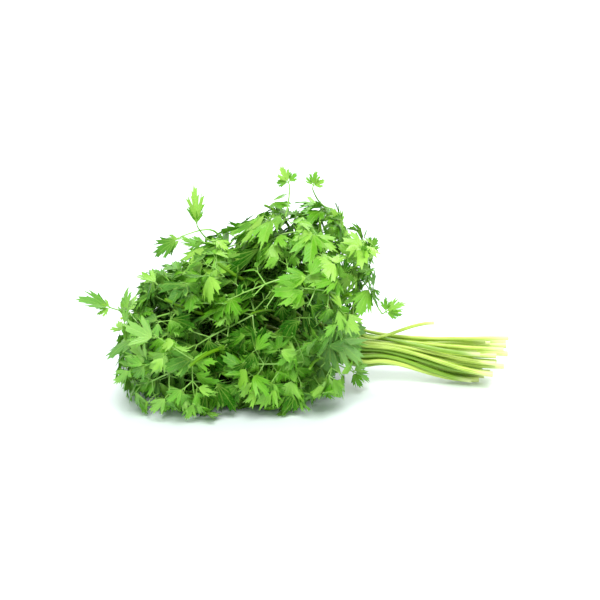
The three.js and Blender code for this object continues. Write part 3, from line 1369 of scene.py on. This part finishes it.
@dataclass
class StemBundle:
    """The thirty stems, from their cut ends through the neck to their leaves, in millimetres."""

    finish: bpy.types.Material
    shift: Shift
    seed: int = 500
    thick: float = 3.5
    thin: float = 2.0
    rings: int = 44
    ridges: int = 8
    groove: float = 0.09
    bowed: float = 1.1
    leaning: float = 1.8
    sag: float = 2.2
    bare: float = 0.46
    lean_fade: float = 1.5
    waves: Span = (9.0, 16.0)
    phases: Span = (0.0, 6.0)
    swell: float = 0.05
    foot: float = 0.06
    foot_fade: float = 60.0
    softness: float = 0.5
    widths: Span = (0.82, 1.16)
    loose_width: float = 0.75
    rim: float = 0.22
    pith: float = 0.3
    pith_depth: float = 0.15
    pith_edge: float = 0.84
    cap: float = 2.0
    pieces: dict[str, Thing] = field(default_factory=dict)

    def profile(self) -> Thing:
        """Makes the ridged round that each stem is drawn from.

        Returns:
            A flat curve.
        """
        curve = bpy.data.curves.new("stem_profile", "CURVE")
        curve.dimensions = "2D"
        spline = curve.splines.new("POLY")
        count = self.ridges * 2
        spline.points.add(count - 1)
        spline.use_cyclic_u = True
        for k, point in enumerate(spline.points):
            out = MM * (1 - self.groove * (k % 2))
            angle = -2 * math.pi * k / count
            point.co = (out * math.cos(angle), out * math.sin(angle), 0, 1)
        made = bpy.data.objects.new("stem_profile", curve)
        bpy.context.collection.objects.link(made)
        return made

    def build(self, sprigs: Sequence[Sprig], lines: Sequence[StemLine]) -> None:
        """Draws every stem.

        Args:
            sprigs: The sprigs, in order.
            lines: Each sprig's line.
        """
        profile = self.profile()
        for sprig, line in zip(sprigs, lines):
            self.pieces[sprig.number] = self.stem(sprig, line, profile)
        bpy.data.objects.remove(profile)

    def stem(self, sprig: Sprig, line: StemLine, profile: Thing) -> Thing:
        """Draws one stem.

        Args:
            sprig: Its sprig.
            line: Its middle line.
            profile: The ridged round.

        Returns:
            The stem.
        """
        chance = np.random.default_rng(self.seed + sprig.index)
        shares = np.linspace(0, 1, self.rings)
        middle = np.array([line.at(share) for share in shares]) + self.sway(shares, chance)
        middle = resting(middle, self.shift.floor + self.thick / 2, self.softness)
        wave = np.sin(shares * chance.uniform(*self.waves) + chance.uniform(*self.phases))
        swell = 1 + self.swell * wave + self.foot * np.exp(-shares * self.foot_fade)
        radii = (self.thick + (self.thin - self.thick) * shares) / 2 * swell
        radii = radii * chance.uniform(*self.widths) * (self.loose_width if line.loose else 1.0)
        name = f"parsley_stem_{sprig.number}"
        placed = self.shift.metres(middle)
        round_bevel = {"bevel_mode": "OBJECT", "bevel_object": profile}
        stem = draw_along(name, [(placed, radii)], self.finish, **round_bevel)
        self.cut_end(stem)
        self.mark(stem.data, placed, radii * MM, chance.uniform(0, 1))
        return stem

    def sway(self, shares: Vector, chance: Chance) -> Vector:
        """Gives how far a stem strays from its line between its cut end and the neck.

        Args:
            shares: The places along the line.
            chance: Where the way that it strays comes from.

        Returns:
            A small shift for each place, in millimetres.
        """
        bare = np.clip(shares / self.bare, 0, 1)
        bow, lean = (
            np.array([0.0, chance.normal(0, most), chance.normal(-sag, most)])
            for most, sag in ((self.bowed, 0.0), (self.leaning, self.sag))
        )
        return np.outer(np.sin(math.pi * bare), bow) + np.outer((1 - bare) ** self.lean_fade, lean)

    def cut_end(self, stem: Thing) -> None:
        """Sinks the pith of the cut end a little, after the fan of triangles there is joined.

        Args:
            stem: The stem.
        """
        with edit_mode():
            bpy.ops.mesh.select_all(action="DESELECT")
        faces = stem.data.polygons
        furthest = max(face.center.x for face in faces if len(face.vertices) == 3)
        for face in faces:
            face.select = len(face.vertices) == 3 and face.center.x > furthest - self.cap * MM
        with edit_mode():
            bpy.ops.mesh.dissolve_faces()
            bpy.ops.mesh.inset(thickness=self.rim * MM)
            bpy.ops.mesh.inset(thickness=self.pith * MM, depth=-self.pith_depth * MM)
        smooth(below=55)

    def mark(self, mesh: bpy.types.Mesh, middle: Vector, radii: Vector, tint: float) -> None:
        """Writes what the finish reads: how far along it is, its ridges, its pith and its tint.

        Args:
            mesh: The stem's mesh.
            middle: The middle of each of its rings.
            radii: The radius of each ring.
            tint: How pale the stem is.
        """
        points = points_of(mesh)
        apart = np.linalg.norm(points[:, None, :] - middle[None, :, :], axis=2)
        ring = apart.argmin(axis=1)
        out = apart[np.arange(len(points)), ring] / radii[ring]
        write_attribute(mesh, "away", ring / (len(middle) - 1))
        write_attribute(mesh, "ridge", np.clip((out - (1 - self.groove)) / self.groove, 0, 1))
        write_attribute(mesh, "pith", ((ring == 0) & (out < self.pith_edge)).astype(float))
        write_attribute(mesh, "tint", tint)


# ---- The leaves ----


@dataclass(frozen=True)
class Layer:
    """One of a sprig's leaves: its plan, how far under the outer one it lies, and its turn."""

    plan: Branch
    sunk: float
    turn: Span


@dataclass(frozen=True)
class Hollow:
    """A gap between the leaves, where the inside of the mound shows, darkened with painted shade.

    It has a mouth, a radius and a depth, and goes back and a little down. Around it and behind its
    mouth the leaflets get painted shade over two spans, one in shares of the radius and one in
    millimetres.
    """

    mouth: Place
    radius: float
    depth: float = 40.0
    before: float = 25.0
    inwards: Place = (0.0, 0.946, -0.325)
    around: Span = (2.2, 1.0)
    behind: Span = (4.0, 18.0)

    def measure(self, point: Vector) -> tuple[float, float]:
        """Measures where a point lies.

        Args:
            point: The point, in millimetres.

        Returns:
            How far behind the mouth it is, and how far from the middle in shares of the radius.
        """
        inwards = np.array(self.inwards)
        away = point - np.array(self.mouth)
        inside = float(away @ inwards)
        return inside, float(np.linalg.norm(away - inside * inwards)) / self.radius

    def empty(self, point: Vector) -> bool:
        """Tells whether a point lies where no leaflet grows."""
        inside, out = self.measure(point)
        return out < 1 and -self.before < inside < self.depth

    def shade(self, point: Vector) -> float:
        """Gives how much painted shade a leaflet gets: 1 deep behind the mouth, and 0 around it."""
        inside, out = self.measure(point)
        return smoothstep(*self.around, out) * smoothstep(*self.behind, inside)


@dataclass
class Growth:
    """One sprig's leaves while they grow: their stalks and their leaflets so far."""

    sprig: Sprig
    floor: float
    chance: Chance
    runs: list[Run] = field(default_factory=list)
    leaflets: list[Thing] = field(default_factory=list)
    clear: float = 0.9
    softness: float = 1.0

    def add_stalk(self, points: Vector, thick: float, thin: float, share: float = 1.0) -> None:
        """Adds a stalk along some points, in millimetres.

        Args:
            points: The points, as rows.
            thick: Its thickness where it starts.
            thin: Its thickness where it ends.
            share: What both thicknesses are multiplied by.
        """
        rested = resting(points, self.floor + self.clear, self.softness)
        self.runs.append((rested, np.linspace(thick, thin, len(points)) / 2 * share))


@dataclass(frozen=True)
class Stance:
    """How leaflets stand on the mound: they point more outwards at its far end and low down.

    Each span says where, along X or up Z, the change starts and where it is full.
    """

    out: float = 0.12
    out_far: float = 0.35
    out_low: float = 0.12
    droop: float = 0.3
    droop_low: float = 0.8
    far: Span = (-85.0, -115.0)
    low: Span = (50.0, 20.0)
    lowest: Span = (55.0, 20.0)
    face_up: float = 0.3

    def pull(self, base: Vector, face: Vector) -> tuple[Vector, Vector]:
        """Gives how a leaflet's heading is pulled.

        Args:
            base: The leaflet's base.
            face: The way that the mound faces there.

        Returns:
            The pull outwards and the pull down.
        """
        out = self.out + self.out_far * smoothstep(*self.far, float(base[0]))
        out += self.out_low * smoothstep(*self.low, float(base[2]))
        droop = self.droop + self.droop_low * smoothstep(*self.lowest, float(base[2]))
        return out * face, droop * UP


@dataclass(frozen=True)
class Greens:
    """How the leaflets' greens are spread over the mound, along X and up Z.

    A tint goes from 0 for deep to 1 for fresh, and a bloom from 0 for none to 1 for grey. Leaflets
    deep in the mound and behind hollows get a lower tint as painted shade.
    """

    middle: float = 0.62
    higher: float = 0.04
    uneven: float = 0.27
    # how far the painted shade of a deep leaflet lowers its tint
    shaded: float = 0.5
    rising: Span = (30.0, 125.0)
    towards_neck: Span = (-110.0, -20.0)
    neck: Span = (-15.0, 25.0)
    low: Span = (80.0, 35.0)
    far: Span = (-55.0, -105.0)
    far_bloom: float = 0.8

    def tint(self, tip: Vector, deep: float, chance: Chance) -> float:
        """Draws a leaflet's tint.

        Args:
            tip: Where its tip is.
            deep: How much painted shade it gets, for lying deep in the mound and behind hollows.
            chance: Where its unevenness comes from.

        Returns:
            The tint.
        """
        high = smoothstep(*self.rising, float(tip[2]))
        high = high * smoothstep(*self.towards_neck, float(tip[0]))
        tint = self.middle + self.higher * high + chance.normal(0, self.uneven)
        return max(float(np.clip(tint, 0.0, 1.0)) - self.shaded * deep, 0.0)

    def bloom(self, tip: Vector, least: float, chance: Chance) -> float:
        """Draws a leaflet's bloom.

        Args:
            tip: Where its tip is.
            least: The least bloom that it has.
            chance: Where its unevenness comes from.

        Returns:
            The bloom.
        """
        near_neck = smoothstep(*self.neck, float(tip[0])) * smoothstep(*self.low, float(tip[2]))
        far_end = self.far_bloom * smoothstep(*self.far, float(tip[0]))
        return max(max(near_neck, far_end) * chance.uniform(0, 1), least)


@dataclass
class Foliage:
    """The leaves of each sprig: an outer one, and inner ones that fill the mound."""

    patterns: LeafletPattern
    stalk_finish: bpy.types.Material
    shift: Shift
    seed: int = 900
    layers: tuple[Layer, ...] = (
        Layer(OUTER_LEAF, 0.0, (0, 0)),
        Layer(INNER_LEAF, 0.10, (35, 75)),
        Layer(INNER_LEAF, 0.24, (80, 150)),
    )
    hollows: tuple[Hollow, ...] = (
        Hollow((-24, -76, 92), 10),
        Hollow((-24, -78, 78), 12),
        Hollow((-87, -70, 80), 11),
        Hollow((-40, -62, 106), 9),
        Hollow((-63, -78, 66), 10),
        Hollow((3, -78, 76), 9),
        Hollow((-50, -78, 30), 8),
    )
    stance: Stance = field(default_factory=Stance)
    greens: Greens = field(default_factory=Greens)
    habit: Habit = Habit(
        heading=0.36,
        face=0.42,
        wide=(0.72, 1.1),
        curl=(-0.3, 1.5),
        fold=(-0.35, 0.5),
        ripple=(0.02, 0.10),
        twist=0.45,
    )
    stalk_marks: tuple[tuple[str, float], ...] = (
        ("ridge", 0.3), ("away", 0.3), ("pith", 0.0), ("tint", 0.3),
    )  # fmt: skip
    apart: float = 0.003
    least_stalk: float = 0.55
    more_stalk: float = 0.45
    look_ahead: float = 0.9
    size_power: float = 0.6
    tint_at: float = 0.6
    clear: float = 0.25
    softness: float = 1.2
    # painted shade: the depths over which inner layers darken, and how strongly a hollow darkens
    # its leaflets
    inner: Span = (0.05, 0.4)
    darker: float = 1.3
    pieces: dict[str, Thing] = field(default_factory=dict)

    def build(self, sprigs: Sequence[Sprig], shoots: "Shoots") -> None:
        """Grows every sprig's leaves.

        Args:
            sprigs: The sprigs, in order.
            shoots: The side shoots that some of them carry.
        """
        for sprig in sprigs:
            chance = np.random.default_rng(self.seed + sprig.index)
            growth = Growth(sprig, self.shift.floor, chance)
            for layer in self.layers:
                self.grow(growth, layer)
            for shoot in shoots.on(sprig):
                shoots.grow(growth, shoot, self)
            stalks = self.stalks(growth)
            select_only(stalks, *growth.leaflets)
            bpy.ops.object.join()
            self.pieces[sprig.number] = stalks

    def stalks(self, growth: Growth) -> Thing:
        """Draws a sprig's stalks, each a hair apart from the next so that no two share a point.

        Args:
            growth: The sprig's leaves.

        Returns:
            The stalks, as one piece.
        """
        runs = [
            (self.shift.metres(points + self.apart * k * UP), radii)
            for k, (points, radii) in enumerate(growth.runs)
        ]
        name = f"parsley_leaf_{growth.sprig.number}"
        round_bevel = {"bevel_depth": MM, "bevel_resolution": 1}
        stalks = draw_along(name, runs, self.stalk_finish, **round_bevel)
        smooth(below=60)
        for mark, value in self.stalk_marks:
            write_attribute(stalks.data, mark, value)
        return stalks

    def grow(self, growth: Growth, layer: Layer) -> None:
        """Grows one leaf over a layer of the mound.

        Args:
            growth: The sprig's leaves so far.
            layer: The leaf.
        """
        sprig, chance = growth.sprig, growth.chance
        aim = math.radians(chance.choice([-1, 1]) * chance.uniform(*layer.turn))
        # painted shade: leaflets on the inner layers are made darker
        deep = smoothstep(*self.inner, 1 - sprig.reach + layer.sunk)
        thickness = self.least_stalk + self.more_stalk * sprig.size

        def place(along: float, across: float, under: float) -> tuple[Vector, Vector]:
            """Gives a place on the leaf and the way that it faces there."""
            point, face = sprig.drape(along, across, layer.sunk, aim)
            return point - face * under * sprig.size, face

        for part in Walk(chance).along(layer.plan):
            if isinstance(part, StalkRun):
                line = np.array([place(*spot)[0] for spot in part.places])
                growth.add_stalk(line, part.thick, part.thin, thickness)
                continue
            base, face = place(*part.base)
            along, across, under = part.base
            reach = part.length * self.look_ahead
            ahead = along + reach * math.cos(part.towards), across + reach * math.sin(part.towards)
            straight = unit(place(*ahead, under)[0] - base)
            out, down = self.stance.pull(base, face)
            towards = unit(straight + out - down + chance.normal(0, self.habit.heading, 3))
            faced = face + self.stance.face_up * UP + chance.normal(0, self.habit.face, 3)
            length = part.length * sprig.size**self.size_power
            bends = self.habit.draw(chance)
            pose = LeafletPose(base, towards, square_to(faced, towards), length, **bends)
            middle = base + towards * part.length / 2
            if any(hollow.empty(middle) for hollow in self.hollows):
                continue
            # leaflets behind a hollow's mouth get painted shade as well
            shade = max(hollow.shade(middle) for hollow in self.hollows)
            growth.leaflets.append(self.leaflet(pose, chance, max(deep, self.darker * shade)))

    def leaflet(
        self, pose: LeafletPose, chance: Chance, deep: float = 0.0, bloom: float = 0.0
    ) -> Thing:
        """Copies a pattern into its place.

        Args:
            pose: Where the leaflet grows and how it bends.
            chance: Where its pattern and its greens come from.
            deep: How much painted shade it gets, which makes it darker than the outer ones.
            bloom: How much grey bloom it has at least.

        Returns:
            The leaflet, with a mesh of its own.
        """
        pattern = self.patterns.models[chance.integers(len(self.patterns.models))]
        copy = pattern.copy()
        copy.data = pattern.data.copy()
        lowest = self.shift.floor + self.clear
        placed = resting(pose.bend(points_of(copy.data)), lowest, self.softness)
        copy.data.vertices.foreach_set("co", self.shift.metres(placed).ravel())
        tip = pose.base + pose.towards * pose.length * self.tint_at
        write_attribute(copy.data, "tint", self.greens.tint(tip, deep, chance))
        write_attribute(copy.data, "bloom", self.greens.bloom(tip, bloom, chance))
        copy.hide_render = False
        bpy.context.collection.objects.link(copy)
        return copy


@dataclass(frozen=True)
class Shoot:
    """A side shoot that stands out of the mound.

    It states where its blades begin and end, what they face, their plan and width, and their least
    bloom.
    """

    base: Place
    tip: Place
    facing: Place
    plan: Branch = SHOOT_LEAF
    wide: float = 0.8
    bloom: float = 0.0


@dataclass
class Shoots:
    """The loose side shoots around the mound's outline."""

    sprigs: Sequence[Sprig]
    node_at: float = 36.0
    steps: int = 10
    bow: float = 0.2
    stem: Span = (1.5, 0.9)
    twig: Span = (0.9, 0.72)
    every: tuple[Shoot, ...] = (
        Shoot((-7, 7, 136), (-14, 8, 152), (0.2, -1, 0.3)),
        Shoot((8, 6, 134), (12, 6, 150), (-0.3, -1, 0.2)),
        Shoot((-68, 4, 126), (-72, 6, 155), (0.8, -0.6, 0), LONG_SHOOT, 0.55),
        Shoot((-78, 0, 120), (-103, 0, 93), (-0.2, -0.7, 1), LONG_SHOOT, 0.5),
        Shoot((-124, -14, 58), (-145, -20, 67), (-0.2, -0.8, 0.5), LONG_SHOOT, 0.65),
        Shoot((54, -14, 54), (71, -16, 64), (0, -1, 0.3)),
        Shoot((15, -33, 47), (46, -30, 25), (0.2, -1, 0.5), BROAD_SHOOT, 1.1, 1.0),
        Shoot((32, -20, 17), (52, -22, 6), (0.3, -1, 0.5)),
    )
    habit: Habit = Habit(
        heading=0.12,
        face=0.2,
        wide=(0.9, 1.1),
        curl=(0.1, 0.7),
        fold=(0.1, 0.45),
        ripple=(0.02, 0.07),
        twist=0.3,
    )

    def root(self, sprig: Sprig) -> Vector:
        """Gives the node that a sprig's shoots leave."""
        return sprig.drape(self.node_at, 0)[0]

    def on(self, sprig: Sprig) -> list[Shoot]:
        """Lists the shoots whose nearest leaf is this sprig's.

        Args:
            sprig: The sprig.

        Returns:
            Its shoots.
        """

        def nearest(shoot: Shoot) -> Sprig:
            """Gives the sprig whose node is nearest to a shoot's blades."""
            return min(
                self.sprigs, key=lambda other: float(np.linalg.norm(self.root(other) - shoot.base))
            )

        return [shoot for shoot in self.every if nearest(shoot) is sprig]

    def grow(self, growth: Growth, shoot: Shoot, foliage: Foliage) -> None:
        """Grows one shoot: a thin stalk from its leaf, and a few small leaflets.

        Args:
            growth: The leaves so far of the sprig that carries it.
            shoot: The shoot.
            foliage: What copies its leaflets.
        """
        chance = growth.chance
        base, tip = np.array(shoot.base, dtype=float), np.array(shoot.tip, dtype=float)
        length = float(np.linalg.norm(tip - base))
        towards = unit(tip - base)
        face = square_to(np.array(shoot.facing, dtype=float), towards)
        left = np.cross(face, towards)
        growth.add_stalk(self.stalk(self.root(growth.sprig), base, towards * length), *self.stem)
        for part in Walk(chance).along(shoot.plan, (0.0, 0.0, 0.0)):
            if isinstance(part, StalkRun):
                places = [base + (towards * a + left * b) * length for a, b, _ in part.places]
                growth.add_stalk(np.array(places), *self.twig)
                continue
            along, across, _ = part.base
            sideways = left * math.sin(part.towards) * shoot.wide
            heading = towards * math.cos(part.towards) + sideways
            pose = LeafletPose(
                base + (towards * along + left * across) * length,
                unit(heading + chance.normal(0, self.habit.heading, 3)),
                square_to(face + chance.normal(0, self.habit.face, 3), unit(heading)),
                part.length * length,
                **self.habit.draw(chance, shoot.wide),
            )
            growth.leaflets.append(foliage.leaflet(pose, chance, bloom=shoot.bloom))

    def stalk(self, root: Vector, base: Vector, ahead: Vector) -> Vector:
        """Bows a stalk from its leaf's node to the base of its blades.

        Args:
            root: The node.
            base: The base of the blades.
            ahead: The way from that base to the shoot's tip.

        Returns:
            The stalk's points, as rows.
        """
        half_way = (root + base) / 2
        bend = half_way - ahead * self.bow
        shares = np.linspace(0, 1, self.steps)[:, None]
        pulled = 2 * shares * (1 - shares) * (2 * bend - half_way)
        return (1 - shares) ** 2 * root + pulled + shares**2 * base


# ---- The bunch ----


@dataclass
class Bunch:
    """The whole bunch: its growth rule, its stems and its leaves, each in place of its CAD node."""

    mound: Mound = field(default_factory=Mound)
    neck: Neck = field(default_factory=Neck)
    leaf_rule: LeafRule = field(default_factory=LeafRule)
    stem_rule: StemRule = field(default_factory=StemRule)

    def build(self, nodes: dict[str, Thing]) -> None:
        """Builds every piece and puts it in place of its node.

        Args:
            nodes: The CAD nodes by name.
        """
        sprigs = [Sprig.grow(i, self.mound, self.neck, self.leaf_rule) for i in range(SPRIGS)]
        places = self.neck.gather(sprigs)
        topmost = max(range(SPRIGS), key=lambda i: float(places[i][1]))
        lines = [
            StemLine.route(sprig, place, self.neck, self.stem_rule, sprig.index == topmost)
            for sprig, place in zip(sprigs, places)
        ]
        shift = Shift.measure(nodes["stem_01"], lines[0].at(0))
        log.info("shift %s mm", np.round(shift.moved, 3))
        stems = StemBundle(StalkFinish("stem_skin").build(), shift)
        stems.build(sprigs, lines)
        patterns = LeafletPattern(BladeFinish().build())
        patterns.build()
        greener = StalkFinish(
            "stalk_skin",
            groove=(0.200, 0.500, 0.050, 1),
            ridge=(0.560, 0.830, 0.240, 1),
            dark=(0.110, 0.340, 0.020, 1),
        )
        foliage = Foliage(patterns, greener.build(), shift)
        foliage.build(sprigs, Shoots(sprigs))
        patterns.discard()
        for sprig in sprigs:
            self.settle(stems.pieces[sprig.number], f"stem_{sprig.number}", "stems")
            self.settle(foliage.pieces[sprig.number], f"leaf_{sprig.number}", "leaves")

    @staticmethod
    def settle(piece: Thing, node: str, slot: str) -> None:
        """Puts a piece in place of its CAD node and reports it.

        Args:
            piece: The finished piece.
            node: The node that it stands for.
            slot: Not used.
        """
        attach(piece, "root")
        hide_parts(node)
        log.info("%s: %d faces", piece.name, len(piece.data.polygons))


# ---- The studio ----


@dataclass
class Studio:
    """A plain pale table in soft white light, and the camera. Sizes are in metres."""

    distance: float = 1.2
    elevation: float = 19.0
    view_width: float = 0.4
    sensor: float = 36.0
    aim: Place = (0.0034, 0.0, 0.058)
    table_size: float = 12.0
    table_gap: float = 0.0003
    white: Colour = (1.0, 1.0, 1.0, 1.0)
    air_strength: float = 0.72
    window_place: Place = (0.0, -0.75, 1.25)
    window_strength: float = 3.25
    window_angle: float = 35.0
    lamp_place: Place = (0.25, 0.95, 0.9)
    lamp_size: float = 0.8
    lamp_power: float = 10.0

    def build(self) -> None:
        """Builds the table, the lights and the camera."""
        self.table()
        self.air()
        angle = math.radians(self.window_angle)
        strength = self.window_strength
        self.light("window_light", "SUN", self.window_place, energy=strength, angle=angle)
        size, power = self.lamp_size, self.lamp_power
        self.light("back_light", "AREA", self.lamp_place, size=size, energy=power)
        self.camera()

    def table(self) -> None:
        """Builds the surface that the bunch lies on."""
        place = (0, 0, -self.table_gap)
        bpy.ops.mesh.primitive_plane_add(size=self.table_size, location=place)
        table = bpy.context.object
        table.name = "table_top"
        bpy.ops.object.transform_apply(location=True)
        table.data.materials.append(TableFinish().build())

    def air(self) -> None:
        """Fills the room with white light."""
        world = bpy.data.worlds.new("white_room")
        world.use_nodes = True
        board = NodeBoard(world.node_tree)
        inputs = {"Color": self.white, "Strength": self.air_strength}
        sky = board.add("ShaderNodeBackground", inputs)
        board.add("ShaderNodeOutputWorld", {"Surface": sky.outputs[0]})
        bpy.context.scene.world = world

    def light(self, name: str, kind: str, place: Place, **settings: float) -> None:
        """Sets up a soft light that faces the bunch.

        Args:
            name: The light's name.
            kind: SUN for the large window in front, and AREA for the square lamp behind.
            place: Where it is.
            **settings: How strong it is, and its size or angle.
        """
        bpy.ops.object.light_add(type=kind, location=place)
        light = bpy.context.object
        light.name = name
        for setting, value in settings.items():
            setattr(light.data, setting, value)
        self.turn_to_aim(light)

    def camera(self) -> None:
        """Sets up the camera."""
        tilt = math.radians(self.elevation)
        x, y, z = self.aim
        y, z = y - self.distance * math.cos(tilt), z + self.distance * math.sin(tilt)
        bpy.ops.object.camera_add(location=(x, y, z))
        camera = bpy.context.object
        camera.name = "front_camera"
        camera.data.sensor_width = self.sensor
        camera.data.lens = self.sensor * self.distance / self.view_width
        camera.data.dof.use_dof = False
        self.turn_to_aim(camera)
        bpy.context.scene.camera = camera

    def turn_to_aim(self, thing: Thing) -> None:
        """Turns a light or the camera to the bunch."""
        away = np.array(thing.location) - np.array(self.aim)
        flat = math.hypot(away[0], away[1])
        thing.rotation_euler = (math.atan2(flat, away[2]), 0, math.atan2(away[0], -away[1]))


def main() -> None:
    """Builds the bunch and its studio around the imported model."""
    logging.basicConfig(level=logging.INFO, format="%(message)s")
    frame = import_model()
    bpy.ops.object.select_all(action="DESELECT")
    bpy.context.scene.view_settings.view_transform = "Standard"
    Bunch().build(frame["nodes"])
    Studio().build()
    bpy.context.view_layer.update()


if __name__ == "__main__":
    main()
